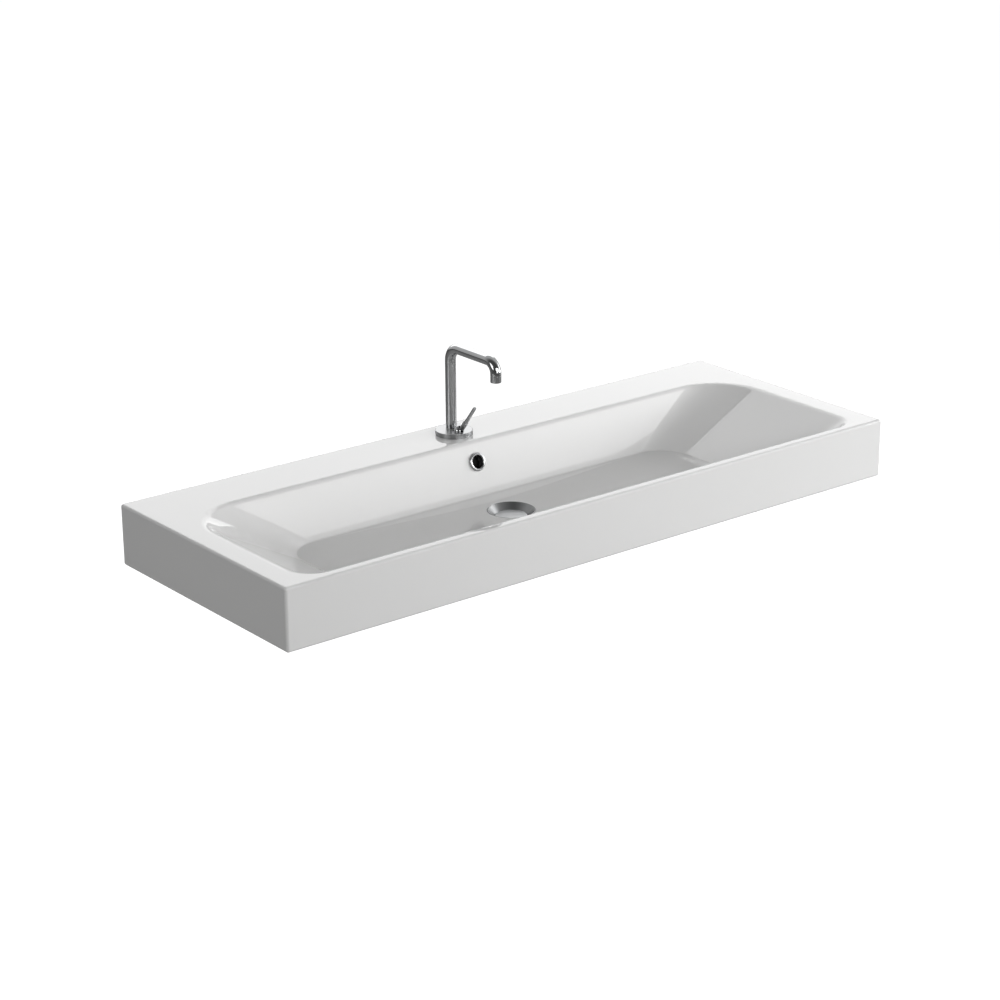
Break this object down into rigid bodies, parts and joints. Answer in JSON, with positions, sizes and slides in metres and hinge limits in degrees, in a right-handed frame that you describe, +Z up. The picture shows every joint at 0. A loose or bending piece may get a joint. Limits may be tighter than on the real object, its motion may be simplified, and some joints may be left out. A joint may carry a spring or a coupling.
{
  "type": "wall-hung washbasin",
  "caption": "Wide wall-hung washbasin with a shallow trough bowl, deck tap with swivel spout and joystick lever, overflow and click-clack waste.",
  "frame": {"origin": "middle of the line of wall fixing holes, on the basin's back face, 60 mm below the rim", "axes": "+X to the right along the wall for someone facing it, +Y into the wall, +Z up"},
  "size_m": [1.2, 0.45, 0.337],
  "materials": {
    "glazed_ceramic": "glossy white glaze",
    "chrome": "polished chrome plate",
    "brass": "machined",
    "steel": "plain stainless",
    "rubber": "matt black",
    "nylon": "natural white",
    "dark_plastic": "moulded dark grey",
    "valve_ceramic": "lapped technical ceramic"
  },
  "bodies": {
    "basin": {"basin_body": "glazed_ceramic", "overflow_ring": "chrome", "overflow_gasket": "rubber", "waste_flange": "chrome", "waste_upper_seal": "rubber", "waste_lower_seal": "rubber", "waste_washer": "nylon", "waste_backnut": "brass", "plug_cartridge": "nylon", "plug_spring": "steel", "tap_body": "chrome", "base_gasket": "rubber", "clamp_gasket": "rubber", "clamp_washer": "steel", "ring_nut": "brass", "spout_washer": "nylon", "spout_grub_screw": "steel", "turret_snap_ring": "steel", "cartridge_gasket": "rubber", "cartridge_housing": "dark_plastic", "fixed_ceramic_disc": "valve_ceramic"},
    "spout": {"spout": "chrome", "spout_neck": "brass", "spout_o_ring": "rubber", "aerator_housing": "chrome", "aerator_seal": "rubber", "aerator_insert": "dark_plastic"},
    "turret": {"joystick_turret": "chrome", "joystick_pin": "steel"},
    "lever": {"joystick_stem": "steel", "joystick_lever": "chrome", "joystick_sleeve": "chrome"},
    "valve_disc": {"sliding_ceramic_disc": "valve_ceramic", "disc_carrier": "dark_plastic"},
    "plug": {"plug_cap": "chrome", "plug_seal": "rubber", "plug_stem": "brass"}
  },
  "joints": [
    {"name": "spout_swivel", "type": "hinge", "parent": "basin", "child": "spout", "pos_m": [0, -0.047, 0.068], "axis": [0, 0, 1], "range_deg": [-60, 60]},
    {"name": "joystick_turn", "type": "hinge", "parent": "basin", "child": "turret", "pos_m": [0, -0.0675, 0.0635], "axis": [0, 0, 1], "range_deg": [-45, 45]},
    {"name": "joystick_lift", "type": "hinge", "parent": "turret", "child": "lever", "pos_m": [0, -0.0675, 0.0635], "axis": [-1, 0, 0], "range_deg": [0, 25]},
    {"name": "disc_slide", "type": "slide", "parent": "turret", "child": "valve_disc", "axis": [0, -1, 0], "range_m": [0, 0.0018]},
    {"name": "plug_lift", "type": "slide", "parent": "basin", "child": "plug", "axis": [0, 0, 1], "range_m": [0, 0.008], "deforming": ["plug_spring"]}
  ],
  "couplings": [
    {"joint": "disc_slide", "follows": "joystick_lift", "m_per_rad": 0.004092}
  ]
}
